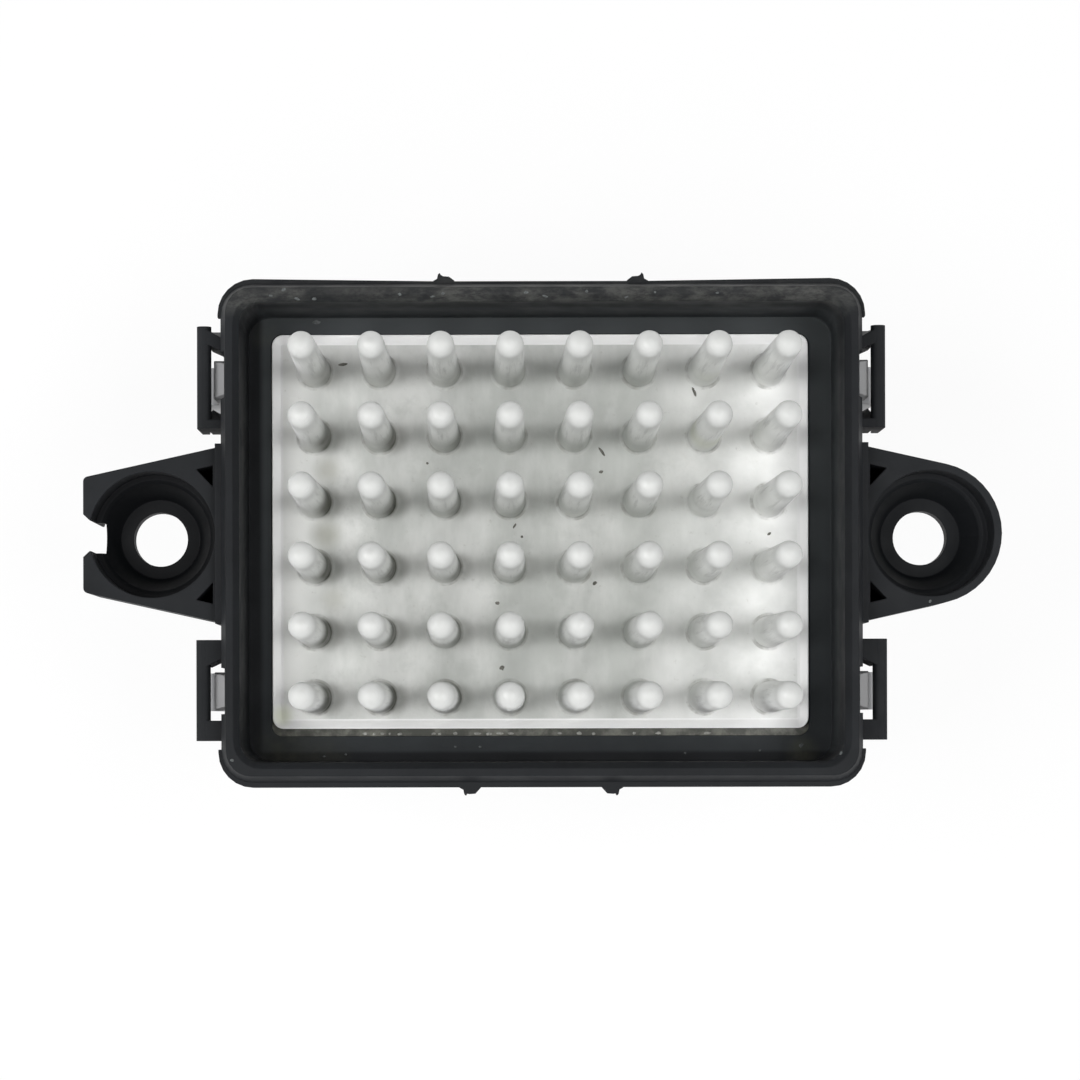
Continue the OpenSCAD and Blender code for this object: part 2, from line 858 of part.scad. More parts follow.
// Shunt: a bent strip of resistance alloy that stands on the board
module shunt_resistor() {
    color([0.66, 0.60, 0.54])
        translate([0, shunt_y + 1.5, 0])
            rotate([90, 0, 0])
                linear_extrude(height = 3)
                    polygon([
                        [shunt_x[0] - 0.4, board_base - 1], [shunt_x[0] + 0.4, board_base - 1],
                        [shunt_x[0] + 0.4, 22.4], [shunt_x[0] + 1.2, 23.2], [shunt_x[1] - 1.2, 23.2],
                        [shunt_x[1] - 0.4, 22.4], [shunt_x[1] - 0.4, board_base - 1],
                        [shunt_x[1] + 0.4, board_base - 1], [shunt_x[1] + 0.4, 22.8],
                        [shunt_x[1] - 0.8, 24], [shunt_x[0] + 0.8, 24], [shunt_x[0] - 0.4, 22.8]
                    ]);
}

module control_chip() {
    translate([chip_at[0], chip_at[1], board_top]) {
        color([0.13, 0.13, 0.14])
            block([-5, -2, 0.15], [5, 2, 1.75]);
        color([0.74, 0.74, 0.74])
            both_ends()
                for (leg = [0:7])
                    translate([(leg - 3.5) * 1.27 - 0.2, 0, 0])
                        rotate([90, 0, 90])
                            linear_extrude(height = 0.4)
                                polygon([
                                    [1.9, 0.9], [2.5, 0.9], [2.8, 0.25], [3.2, 0.25],
                                    [3.2, 0], [2.6, 0], [2.3, 0.65], [1.9, 0.65]
                                ]);
    }
}

module suppressor_diode() {
    translate([diode_at[0], diode_at[1], board_top]) {
        color([0.12, 0.12, 0.13])
            block([-3.4, -2.9, 0.2], [3.4, 2.9, 2.4]);
        color([0.74, 0.74, 0.74])
            both_sides()
                block([2.4, -1.5, 0], [3.9, 1.5, 1.2]);
    }
}

module chip_capacitors() {
    color([0.62, 0.50, 0.38])
        for (i = [0:4])
            translate([(i - 2) * 4, -10, board_top])
                block([-1.6, -0.8, 0], [1.6, 0.8, 1.2]);
}

module chip_resistors() {
    color([0.15, 0.15, 0.16])
        for (i = [0:6])
            translate([(i - 3) * 2.2, 10.8, board_top])
                block([-0.6, -1, 0], [0.6, 1, 0.5]);
}

frame();
heat_sink();
sealant_bead();
rear_cover();
circuit_board();
board_screws();
power_transistor_left();
power_transistor_right();
thermal_pad_left();
thermal_pad_right();
transistor_clip();
clip_screw();
shunt_resistor();
supply_capacitor();
motor_capacitor();
choke_core();
choke_winding();
control_chip();
suppressor_diode();
chip_capacitors();
chip_resistors();
motor_blade_positive();
motor_blade_negative();
supply_blade();
ground_blade();
signal_blade();
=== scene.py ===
import math

import bmesh
import bpy
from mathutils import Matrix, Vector, noise


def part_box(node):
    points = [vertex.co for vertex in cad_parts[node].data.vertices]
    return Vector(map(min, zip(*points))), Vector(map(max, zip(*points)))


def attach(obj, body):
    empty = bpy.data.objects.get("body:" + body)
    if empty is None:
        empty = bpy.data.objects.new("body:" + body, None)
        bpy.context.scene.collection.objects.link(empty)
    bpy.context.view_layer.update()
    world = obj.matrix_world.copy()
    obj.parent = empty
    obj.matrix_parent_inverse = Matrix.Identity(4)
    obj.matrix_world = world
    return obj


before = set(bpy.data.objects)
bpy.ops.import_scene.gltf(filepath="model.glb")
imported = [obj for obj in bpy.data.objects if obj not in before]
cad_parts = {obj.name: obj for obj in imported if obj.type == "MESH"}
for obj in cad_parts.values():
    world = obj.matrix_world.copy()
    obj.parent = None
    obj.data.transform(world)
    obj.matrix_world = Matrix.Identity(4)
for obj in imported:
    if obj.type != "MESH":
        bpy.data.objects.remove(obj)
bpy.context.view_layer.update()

# Housing frame: one injection moulding in black glass-filled nylon, with two screw ears, four snap eyes,
# a sloping rim and a thin flash lip. Air from the duct has left grey dust on the rim's upper edge and dirt
# in the well's corners. Painted light lightens the well and its right wall; painted shade fills the screw
# cups.

mm = 0.001
rim_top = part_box("frame")[1].z
well_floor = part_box("sealant_bead")[1].z
frame_black = (0.010, 0.011, 0.0125)


def start_finish(name):
    """A new finish with its nodes, its links and its main shader."""
    finish = bpy.data.materials.new(name)
    finish.use_nodes = True
    tree = finish.node_tree
    return finish, tree.nodes, tree.links, tree.nodes["Principled BSDF"]


def cloudy(nodes, links, per_metre, detail=4.0, rough=0.55, stretch=(1, 1, 1)):
    """Clouds fixed to the part, in so many patches to the metre, pulled along an axis by stretch."""
    place = nodes.new("ShaderNodeTexCoord")
    spread = nodes.new("ShaderNodeMapping")
    spread.inputs["Scale"].default_value = stretch
    clouds = nodes.new("ShaderNodeTexNoise")
    clouds.inputs["Scale"].default_value = per_metre
    clouds.inputs["Detail"].default_value = detail
    clouds.inputs["Roughness"].default_value = rough
    links.new(place.outputs["Object"], spread.inputs["Vector"])
    links.new(spread.outputs["Vector"], clouds.inputs["Vector"])
    return clouds.outputs["Fac"]


def between(nodes, links, amount, low, high, at_low=0.0, at_high=1.0):
    """amount from low to high becomes at_low to at_high, smoothly, and stays there outside."""
    ramp = nodes.new("ShaderNodeMapRange")
    ramp.interpolation_type = "SMOOTHSTEP"
    ramp.inputs["From Min"].default_value = low
    ramp.inputs["From Max"].default_value = high
    ramp.inputs["To Min"].default_value = at_low
    ramp.inputs["To Max"].default_value = at_high
    links.new(amount, ramp.inputs["Value"])
    return ramp.outputs["Result"]


def below(nodes, links, amount, whole, gone):
    """A mask that is whole up to one value of amount and gone from another."""
    return between(nodes, links, amount, whole, gone, 1.0, 0.0)


def times(nodes, links, *masks):
    """The product of masks, of which any can be a plain number."""
    result = masks[0]
    for mask in masks[1:]:
        product = nodes.new("ShaderNodeMath")
        product.operation = "MULTIPLY"
        links.new(result, product.inputs[0])
        if isinstance(mask, (int, float)):
            product.inputs[1].default_value = mask
        else:
            links.new(mask, product.inputs[1])
        result = product.outputs["Value"]
    return result


def window(nodes, links, along, start, end):
    """A mask from a start to an end along an axis, each of them a soft edge of two values."""
    return times(nodes, links, between(nodes, links, along, *start), below(nodes, links, along, *end))


def blend_colours(nodes, links, amount, under, over):
    """The colour under, covered by the colour over as far as amount says. Either can be a link."""
    mix = nodes.new("ShaderNodeMix")
    mix.data_type = "RGBA"
    links.new(amount, mix.inputs["Factor"])
    for socket, colour in ((mix.inputs[6], under), (mix.inputs[7], over)):
        if isinstance(colour, tuple):
            socket.default_value = (*colour, 1)
        else:
            links.new(colour, socket)
    return mix.outputs[2]


def relief(nodes, links, shader, height, depth, edge=0.0):
    """Raises the surface by depth metres times height, over edges softened by edge metres."""
    bump = nodes.new("ShaderNodeBump")
    bump.inputs["Strength"].default_value = 1.0
    bump.inputs["Distance"].default_value = depth
    links.new(height, bump.inputs["Height"])
    if edge:
        round_edge = nodes.new("ShaderNodeBevel")
        round_edge.samples = 6
        round_edge.inputs["Radius"].default_value = edge
        links.new(round_edge.outputs["Normal"], bump.inputs["Normal"])
    links.new(bump.outputs["Normal"], shader.inputs["Normal"])


def near(nodes, links, spot, reach, fade=0.5):
    """A mask round one spot on the part, whole to fade times reach and gone at reach. Millimetres."""
    place = nodes.new("ShaderNodeTexCoord")
    away = nodes.new("ShaderNodeVectorMath")
    away.operation = "DISTANCE"
    away.inputs[1].default_value = tuple(mm * c for c in spot)
    links.new(place.outputs["Object"], away.inputs[0])
    return below(nodes, links, away.outputs["Value"], mm * fade * reach, mm * reach)


def place_on_part(nodes, links):
    """The X, Y and Z of the point on the part, in metres."""
    place = nodes.new("ShaderNodeTexCoord")
    split = nodes.new("ShaderNodeSeparateXYZ")
    links.new(place.outputs["Object"], split.inputs["Vector"])
    return split.outputs["X"], split.outputs["Y"], split.outputs["Z"]


def off_plane(nodes, links, along, plane=0.0):
    """How far a point lies from a plane, on either side, in metres."""
    gap = nodes.new("ShaderNodeMath")
    gap.operation = "SUBTRACT"
    gap.inputs[1].default_value = plane
    size = nodes.new("ShaderNodeMath")
    size.operation = "ABSOLUTE"
    links.new(along, gap.inputs[0])
    links.new(gap.outputs["Value"], size.inputs[0])
    return size.outputs["Value"]


def dress(node, finish):
    """Gives a CAD node its finish."""
    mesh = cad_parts[node].data
    mesh.materials.clear()
    mesh.materials.append(finish)


def rim_dust(nodes, links, y, z):
    """Smeared dust along the upper side of the rim."""
    film = between(nodes, links, cloudy(nodes, links, 150, 5, 0.62), 0.32, 0.62, 0.25, 1.0)
    smears = between(nodes, links, cloudy(nodes, links, 700, 5, 0.75, (0.5, 1, 1)), 0.36, 0.64, 0.2, 1.0)
    upper_side = between(nodes, links, y, 24.5 * mm, 26.8 * mm)
    on_rim = between(nodes, links, z, rim_top - 3.5 * mm, rim_top - 0.5 * mm)
    return times(nodes, links, film, smears, upper_side, on_rim, 0.6)


def inside_well(nodes, links, x, y, z):
    """The well's floor and walls, from the sealant up to the slope of the rim."""
    floor_edge = (well_floor, well_floor + 0.3 * mm)
    slope = (well_floor + 6.5 * mm, well_floor + 9.5 * mm)
    depth = window(nodes, links, z, floor_edge, slope)
    width = window(nodes, links, x, (-34.0 * mm, -33.1 * mm), (35.6 * mm, 36.2 * mm))
    off_middle = off_plane(nodes, links, y, 0.9 * mm)
    return times(nodes, links, depth, width, below(nodes, links, off_middle, 26.2 * mm, 26.8 * mm))


def painted_light_right_wall(nodes, links, x, y, z):
    """The well's right wall, which painted light makes greyer than the other three."""
    width = window(nodes, links, x, (31.8 * mm, 33.0 * mm), (34.0 * mm, 35.2 * mm))
    above_floor = between(nodes, links, z, well_floor + 0.4 * mm, well_floor + 1.5 * mm)
    off_middle = off_plane(nodes, links, y)
    return times(nodes, links, width, above_floor, below(nodes, links, off_middle, 22.5 * mm, 25.5 * mm))


def black_nylon():
    """Black glass-filled nylon: eroded mould grain, cloudy gloss, dust and dirt, with painted light in the
    well and painted shade in the screw cups.
    """
    finish, nodes, links, shader = start_finish("frame_nylon")
    x, y, z = place_on_part(nodes, links)
    thin_film = between(nodes, links, cloudy(nodes, links, 70, 6, 0.6), 0.3, 0.8, 0.0, 0.35)
    colour = blend_colours(nodes, links, thin_film, frame_black, tuple(2.2 * c for c in frame_black))
    colour = blend_colours(nodes, links, rim_dust(nodes, links, y, z), colour, (0.105, 0.105, 0.098))

    patchy = between(nodes, links, cloudy(nodes, links, 130, 4, 0.6), 0.3, 0.7, 0.75, 1.0)
    # Painted light: the well's floor and walls are lighter in cloudy patches, and lighter still low on the
    # ledge towards the top.
    in_well = inside_well(nodes, links, x, y, z)
    colour = blend_colours(nodes, links, times(nodes, links, in_well, patchy), colour, (0.033, 0.037, 0.040))
    low_down = below(nodes, links, z, well_floor + 0.8 * mm, well_floor + 1.6 * mm)
    toward_top = between(nodes, links, y, -22 * mm, 18 * mm, 0.05, 0.75)
    ledge = times(nodes, links, in_well, low_down, toward_top)
    colour = blend_colours(nodes, links, ledge, colour, (0.064, 0.070, 0.073))
    # Painted light on the well's right wall.
    right_wall_light = times(nodes, links, painted_light_right_wall(nodes, links, x, y, z), patchy)
    colour = blend_colours(nodes, links, right_wall_light, colour, (0.150, 0.162, 0.170))

    crust = between(nodes, links, cloudy(nodes, links, 500, 5, 0.6), 0.3, 0.7, 0.4, 1.0)
    for corner, reach, share in (
        ((-30.6, -25.2, 33.5), 4.6, 0.30),
        ((-26.0, -26.0, 33.5), 4.5, 0.15),
        ((31.6, -25.6, 33.5), 2.6, 0.45),
        ((-33.0, 24.6, 33.5), 2.4, 0.15),
    ):
        dirt = times(nodes, links, near(nodes, links, corner, reach, 0.1), crust, share)
        colour = blend_colours(nodes, links, dirt, colour, (0.10, 0.10, 0.072))
    # Painted shade: the two screw cups are near black, the left one darker.
    for seat, reach, painted_cup_shade in (
        ((-45.65, 0, 36), 8.2, (0.004, 0.0045, 0.0055)),
        ((45.65, 0, 36), 6.9, (0.008, 0.009, 0.0105)),
    ):
        colour = blend_colours(nodes, links, near(nodes, links, seat, reach, 0.93), colour, painted_cup_shade)

    gloss = between(nodes, links, cloudy(nodes, links, 240, 3, 0.5), 0.3, 0.7, 0.55, 0.66)
    links.new(colour, shader.inputs["Base Color"])
    links.new(gloss, shader.inputs["Roughness"])
    shader.inputs["Specular IOR Level"].default_value = 0.15
    relief(nodes, links, shader, cloudy(nodes, links, 2600, 3, 0.6), 0.012 * mm, 0.22 * mm)
    return finish


dress("frame", black_nylon())

# Cooling plate: an aluminium die casting, as cast, with 48 drafted pins that stand in the air stream.
# The flow of metal has left streaks, and the die has left draw marks along the pins. Use has left a dull
# grey skin and stains. Painted shade darkens the pins' right flanks; painted light lightens the plate's ends
# and edge.

pin_pitch = (7.8 * mm, 7.86 * mm)
first_pin = (-27.12 * mm, 20.23 * mm, 0)
plate_face = well_floor + 0.5 * mm
pin_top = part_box("heat_sink")[1].z


def beside_pins(nodes, links, aside):
    """Level distance in metres to a spot that repeats at every pin, at any height. The spot is in mm."""
    place = nodes.new("ShaderNodeTexCoord")
    first = nodes.new("ShaderNodeVectorMath")
    first.operation = "SUBTRACT"
    first.inputs[1].default_value = first_pin
    again = nodes.new("ShaderNodeVectorMath")
    again.operation = "WRAP"
    again.inputs[1].default_value = (pin_pitch[0] / 2, pin_pitch[1] / 2, 0)
    again.inputs[2].default_value = (-pin_pitch[0] / 2, -pin_pitch[1] / 2, 0)
    away = nodes.new("ShaderNodeVectorMath")
    away.operation = "DISTANCE"
    away.inputs[1].default_value = (mm * aside[0], mm * aside[1], 0)
    links.new(place.outputs["Object"], first.inputs[0])
    links.new(first.outputs["Vector"], again.inputs[0])
    links.new(again.outputs["Vector"], away.inputs[0])
    return away.outputs["Value"]


def cast_skin(nodes, links, x, z):
    """The casting's colour: flow streaks, blotches, painted light at both ends, draw marks and darker pin
    tips.
    """
    flow = between(nodes, links, cloudy(nodes, links, 90, 5, 0.6, (1.3, 0.5, 0.4)), 0.34, 0.68)
    skin = blend_colours(nodes, links, flow, (0.57, 0.585, 0.56), (0.78, 0.785, 0.765))
    blotch = between(nodes, links, cloudy(nodes, links, 230, 4, 0.65), 0.48, 0.72, 0.0, 0.40)
    skin = blend_colours(nodes, links, blotch, skin, (0.47, 0.485, 0.46))

    # Painted light: the plate's right part and its left end are lighter.
    right_light_patches = between(nodes, links, cloudy(nodes, links, 140, 4, 0.6), 0.3, 0.65, 0.55, 1.0)
    painted_light_right = times(nodes, links, between(nodes, links, x, 8 * mm, 27 * mm), right_light_patches)
    skin = blend_colours(nodes, links, painted_light_right, skin, (0.95, 0.955, 0.94))
    painted_light_left = below(nodes, links, x, -29.5 * mm, -25 * mm)
    skin = blend_colours(nodes, links, painted_light_left, skin, (0.93, 0.935, 0.91))
    grime = between(nodes, links, cloudy(nodes, links, 900, 3, 0.7), 0.62, 0.82, 0.0, 0.35)
    skin = blend_colours(nodes, links, grime, skin, (0.34, 0.33, 0.29))

    shank = between(nodes, links, z, plate_face + 4.0 * mm, plate_face + 12.5 * mm)
    skin = blend_colours(nodes, links, times(nodes, links, shank, 0.75), skin, (0.82, 0.825, 0.81))
    draw_marks = cloudy(nodes, links, 1500, 4, 0.65, (1, 1, 0.05))
    draw_marks = times(nodes, links, between(nodes, links, draw_marks, 0.48, 0.68, 0.0, 0.42), shank)
    skin = blend_colours(nodes, links, draw_marks, skin, (0.38, 0.385, 0.37))
    # Darker towards the pins' tips.
    tip = between(nodes, links, z, pin_top - 7.5 * mm, pin_top - 0.3 * mm)
    return blend_colours(nodes, links, tip, skin, (0.56, 0.565, 0.55))


def painted_flank_shade(nodes, links, x, y, z):
    """Painted shade on the right flank of each pin and at its foot, thickest in the left columns."""
    right_flank_spot = below(nodes, links, beside_pins(nodes, links, (1.6, -0.15)), 1.0 * mm, 2.5 * mm)
    lower_half = below(nodes, links, z, plate_face + 4.5 * mm, plate_face + 13.5 * mm)
    thin_on_plate = between(nodes, links, z, plate_face, plate_face + 0.3 * mm, 0.5, 1.0)
    shade_patches = between(nodes, links, cloudy(nodes, links, 200, 3, 0.5), 0.35, 0.6, 0.72, 1.0)
    toward_left = between(nodes, links, x, -21 * mm, 9 * mm, 0.97, 0.12)
    below_first_row = between(nodes, links, y, 9 * mm, 21 * mm, 1.0, 0.5)
    return times(nodes, links, right_flank_spot, lower_half, thin_on_plate, shade_patches, toward_left, below_first_row)


def cast_aluminium():
    """Raw die-cast aluminium, with the dirt that use has left on it, and painted light and shade."""
    finish, nodes, links, shader = start_finish("cast_aluminium")
    x, y, z = place_on_part(nodes, links)
    skin = cast_skin(nodes, links, x, z)

    inside_x = below(nodes, links, off_plane(nodes, links, x), 30.8 * mm, 31.1 * mm)
    inside_y = below(nodes, links, off_plane(nodes, links, y, 0.9 * mm), 22.45 * mm, 22.6 * mm)
    inside = times(nodes, links, inside_x, inside_y)
    # Darker in a thin ring round each pin's foot, where it meets the plate.
    above_plate = (plate_face + 0.01 * mm, plate_face + 0.05 * mm)
    foot = window(nodes, links, z, above_plate, (plate_face + 0.3 * mm, plate_face + 1.0 * mm))
    foot_ring_patches = between(nodes, links, cloudy(nodes, links, 500, 3, 0.6), 0.4, 0.7, 0.0, 0.5)
    skin = blend_colours(nodes, links, times(nodes, links, inside, foot, foot_ring_patches), skin, (0.27, 0.265, 0.235))

    # Painted highlight: a near-white band along the plate's edge.
    border = below(nodes, links, inside, 0.0, 1.0)
    border = times(nodes, links, border, between(nodes, links, z, well_floor, well_floor + 0.2 * mm))
    skin = blend_colours(nodes, links, border, skin, (0.97, 0.97, 0.965))
    # Painted shade on the pins' right flanks and feet.
    painted_pin_shade = times(nodes, links, painted_flank_shade(nodes, links, x, y, z), inside)
    skin = blend_colours(nodes, links, painted_pin_shade, skin, (0.052, 0.052, 0.036))
    # The first two marks are stains; the last three are painted shade near the first column's pins.
    for spot, reach, share, stain_and_shade in (
        ((-31.2, -21.2, 33.6), 1.9, 0.5, (0.62, 0.66, 0.42)),
        ((20.1, 13.6, 40.0), 7.0, 0.4, (0.58, 0.60, 0.40)),
        ((-25.6, 8.4, 33.5), 2.4, 0.5, (0.36, 0.355, 0.30)),
        ((-25.8, 0.6, 33.5), 2.7, 0.6, (0.36, 0.355, 0.30)),
        ((-24.9, -7.2, 33.5), 2.4, 0.4, (0.36, 0.355, 0.30)),
    ):
        stain_and_shade_mark = times(nodes, links, near(nodes, links, spot, reach, 0.1), share)
        skin = blend_colours(nodes, links, stain_and_shade_mark, skin, stain_and_shade)

    gloss = between(nodes, links, cloudy(nodes, links, 160, 4, 0.6), 0.3, 0.7, 0.48, 0.64)
    links.new(skin, shader.inputs["Base Color"])
    links.new(gloss, shader.inputs["Roughness"])
    shader.inputs["Metallic"].default_value = 0.2
    relief(nodes, links, shader, cloudy(nodes, links, 1500, 4, 0.6), 0.03 * mm, 0.15 * mm)
    return finish


dress("heat_sink", cast_aluminium())

# Dirt on the casting: dark crumbs and fibres that the air has carried in. They lie stuck to the plate
# between the pins, where the photograph shows them.


def crumbs(name, node, colour, thick, spots):
    """Small uneven lumps stuck to a CAD node: x, y, length, width in mm and a turn in degrees for each."""
    heap = bmesh.new()
    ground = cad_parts[node]
    for number, (x, y, long, wide, turn) in enumerate(spots):
        hit, at, up, face = ground.ray_cast(Vector((mm * x, mm * y, 0.1)), Vector((0, 0, -1)))
        lie = up.to_track_quat("Z", "Y").to_matrix()
        lump = bmesh.ops.create_icosphere(heap, subdivisions=2, radius=0.5)
        c, s = math.cos(math.radians(turn)), math.sin(math.radians(turn))
        for vert in lump["verts"]:
            uneven = 1 + 0.5 * noise.noise(3.1 * vert.co + Vector((7.3 * number, x, y)))
            along, across = uneven * vert.co.x * long, uneven * vert.co.y * wide
            high = uneven * vert.co.z * thick
            vert.co = at + lie @ (mm * Vector((c * along - s * across, s * along + c * across, high)))
    mesh = bpy.data.meshes.new(name)
    heap.to_mesh(mesh)
    heap.free()
    finish, nodes, links, shader = start_finish(name)
    tone = between(nodes, links, cloudy(nodes, links, 3000, 3, 0.6), 0.35, 0.65)
    shade = blend_colours(nodes, links, tone, colour, tuple(0.6 * c for c in colour))
    links.new(shade, shader.inputs["Base Color"])
    shader.inputs["Roughness"].default_value = 0.85
    mesh.materials.append(finish)
    piece = bpy.data.objects.new(name, mesh)
    bpy.context.scene.collection.objects.link(piece)
    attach(piece, "root")


crumbs("plate_crumbs", "heat_sink", (0.20, 0.195, 0.17), 0.14, [
    (-23.7, 21.1, 1.1, 0.35, 5), (7.46, 10.5, 1.3, 0.3, -58), (7.33, 8.1, 0.6, 0.35, 10),
    (6.55, -5.3, 0.6, 0.45, 40), (18.6, 17.7, 1.2, 0.35, -70), (-5.2, -7.7, 0.5, 0.45, 0),
    (-4.65, -15.5, 0.6, 0.55, 20), (-3.1, 1.6, 0.7, 0.25, 60), (27.6, 0.6, 0.5, 0.3, 30),
    (-2.2, 0.3, 0.3, 0.3, 0), (12.3, -9.4, 0.3, 0.25, 0), (-13.6, 9.2, 0.3, 0.3, 0),
])

# Sealant: a bead of dark grey silicone run between the casting and the frame, so that no air or water
# gets to the board. It was laid by nozzle and has skinned over, slightly wavy, and pale grit sticks to it.


def cured_silicone():
    """Skinned silicone, patchy with dust, that lets a little light in."""
    finish, nodes, links, shader = start_finish("cured_silicone")
    patches = between(nodes, links, cloudy(nodes, links, 420, 4, 0.6), 0.40, 0.68)
    skin = blend_colours(nodes, links, patches, (0.06, 0.062, 0.05), (0.19, 0.19, 0.16))
    links.new(skin, shader.inputs["Base Color"])
    shader.inputs["Roughness"].default_value = 0.42
    shader.inputs["Subsurface Weight"].default_value = 0.15
    shader.inputs["Subsurface Radius"].default_value = (0.8 * mm, 0.7 * mm, 0.5 * mm)
    relief(nodes, links, shader, cloudy(nodes, links, 480, 3, 0.5), 0.12 * mm)
    return finish


dress("sealant_bead", cured_silicone())
crumbs("bead_grit", "sealant_bead", (0.42, 0.42, 0.39), 0.2, [
    (-21.2, -23.4, 0.5, 0.3, 0), (-20.1, -23.45, 0.4, 0.3, 20), (-19.1, -23.4, 0.45, 0.3, -10),
    (-18.2, -23.4, 0.3, 0.3, 0), (-17.0, -23.45, 0.6, 0.3, 0), (-12.9, -23.4, 0.5, 0.3, 0),
    (-12.2, -23.45, 0.4, 0.25, 15), (-10.3, -23.4, 0.5, 0.4, 0), (-7.6, -23.4, 0.9, 0.3, 0),
    (-6.2, -23.45, 0.8, 0.35, 4), (-4.9, -23.4, 0.9, 0.3, -4), (-3.6, -23.4, 0.8, 0.3, 0),
    (2.3, -23.4, 0.5, 0.3, 0), (4.7, -23.4, 0.6, 0.4, 0), (6.4, -23.45, 0.4, 0.3, 0),
    (11.3, -23.4, 0.4, 0.35, 0), (14.2, -23.4, 0.7, 0.35, 0), (20.1, -23.4, 0.9, 0.3, 3),
])

# Power transistors: two flat moulded packages whose tin-plated tabs lie on soft pads against the casting.
# One screw pulls a spring-steel leaf against both of them.

tab_thickness = 1.3 * mm


def banded(name, low_colour, high_colour, border, metal_high, rough):
    """Two finishes on one solid, divided at the height border, such as a package and its tab."""
    finish, nodes, links, shader = start_finish(name)
    x, y, z = place_on_part(nodes, links)
    upper = between(nodes, links, z, border - 0.05 * mm, border + 0.05 * mm)
    worn = between(nodes, links, cloudy(nodes, links, 700, 4, 0.6), 0.35, 0.7, 0.0, 0.3)
    dull = blend_colours(nodes, links, worn, low_colour, tuple(0.6 * c for c in low_colour))
    bright = blend_colours(nodes, links, worn, high_colour, tuple(0.75 * c for c in high_colour))
    links.new(blend_colours(nodes, links, upper, dull, bright), shader.inputs["Base Color"])
    links.new(times(nodes, links, upper, metal_high), shader.inputs["Metallic"])
    shader.inputs["Roughness"].default_value = rough
    relief(nodes, links, shader, cloudy(nodes, links, 2400, 2, 0.5), 0.008 * mm)
    return finish


def plain_finish(name, colour, darker, per_metre, metal, rough, stretch=(1, 1, 1), depth=0.01 * mm):
    """One finish all over, with a cloudy change of tone and a fine grain."""
    finish, nodes, links, shader = start_finish(name)
    tone = between(nodes, links, cloudy(nodes, links, per_metre, 4, 0.6, stretch), 0.3, 0.75)
    shade = blend_colours(nodes, links, tone, colour, tuple(darker * c for c in colour))
    links.new(shade, shader.inputs["Base Color"])
    shader.inputs["Metallic"].default_value = metal
    shader.inputs["Roughness"].default_value = rough
    relief(nodes, links, shader, cloudy(nodes, links, 4 * per_metre, 3, 0.6, stretch), depth)
    return finish


tab_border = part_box("power_transistor_left")[1].z - tab_thickness
package = banded("transistor_package", (0.016, 0.016, 0.018), (0.62, 0.62, 0.61), tab_border, 1.0, 0.4)
for node in ("power_transistor_left", "power_transistor_right"):
    dress(node, package)
pad = plain_finish("thermal_pad", (0.50, 0.53, 0.58), 0.85, 400, 0.0, 0.75)
for node in ("thermal_pad_left", "thermal_pad_right"):
    dress(node, pad)
dress("transistor_clip", plain_finish("spring_steel", (0.40, 0.41, 0.44), 0.8, 300, 1.0, 0.32, (0.1, 1, 1)))
zinc = plain_finish("zinc_plate", (0.55, 0.56, 0.58), 0.8, 500, 1.0, 0.28)
dress("clip_screw", zinc)

# Circuit board: green glass-epoxy with the drive chip, a shunt, a choke, two capacitor cans and small chips.
# It is screwed to four posts of the rear cover, and the blades and transistor leads are soldered into it.

sleeve_gap = 2.6 * mm


def board_lacquer():
    """Green lacquer over copper tracks, with the glass cloth's weave showing faintly."""
    finish, nodes, links, shader = start_finish("board_lacquer")
    weave = nodes.new("ShaderNodeTexBrick")
    weave.inputs["Scale"].default_value = 900
    weave.inputs["Mortar Size"].default_value = 0.012
    place = nodes.new("ShaderNodeTexCoord")
    links.new(place.outputs["Object"], weave.inputs["Vector"])
    tone = between(nodes, links, cloudy(nodes, links, 260, 5, 0.6, (1, 0.25, 1)), 0.44, 0.56)
    green = blend_colours(nodes, links, tone, (0.010, 0.105, 0.045), (0.022, 0.16, 0.07))
    links.new(green, shader.inputs["Base Color"])
    shader.inputs["Roughness"].default_value = 0.28
    relief(nodes, links, shader, weave.outputs["Fac"], 0.01 * mm)
    return finish


dress("circuit_board", board_lacquer())
dress("board_screws", zinc)
alloy = plain_finish("resistance_alloy", (0.45, 0.39, 0.33), 0.75, 420, 1.0, 0.34, (0.15, 1, 1))
dress("shunt_resistor", alloy)
sleeve_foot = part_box("supply_capacitor")[0].z + sleeve_gap
for can in ("supply_capacitor", "motor_capacitor"):
    sleeve = banded(can + "_sleeve", (0.60, 0.60, 0.60), (0.020, 0.026, 0.055), sleeve_foot, 0.0, 0.35)
    dress(can, sleeve)
dress("choke_core", plain_finish("ferrite", (0.045, 0.045, 0.048), 0.6, 900, 0.0, 0.62, depth=0.03 * mm))
dress("choke_winding", plain_finish("enamelled_copper", (0.62, 0.25, 0.09), 0.7, 300, 1.0, 0.22))
dress("control_chip", plain_finish("chip_package", (0.020, 0.020, 0.022), 0.7, 900, 0.0, 0.5))
dress("suppressor_diode", plain_finish("diode_package", (0.022, 0.022, 0.024), 0.7, 900, 0.0, 0.46))
dress("chip_capacitors", plain_finish("capacitor_ceramic", (0.42, 0.30, 0.18), 0.8, 900, 0.0, 0.5))
dress("chip_resistors", plain_finish("resistor_glaze", (0.024, 0.024, 0.026), 0.7, 900, 0.0, 0.4))

# Contact blades: stamped brass strip, tin-plated, pressed through the rear cover into the two shrouds.
# The plating is streaked along the blade by the stamping tool and by the plugs.

tin = plain_finish("tin_plate", (0.66, 0.63, 0.56), 0.82, 350, 1.0, 0.26, (1, 1, 0.12))
for node in ("motor_blade_positive", "motor_blade_negative", "supply_blade", "ground_blade", "signal_blade"):
    dress(node, tin)

# Rear cover: one light grey nylon moulding with the plug shrouds and four latches, smoother than the frame.
# Its latches pass behind the frame's snap eyes and catch the ledges in the side walls.


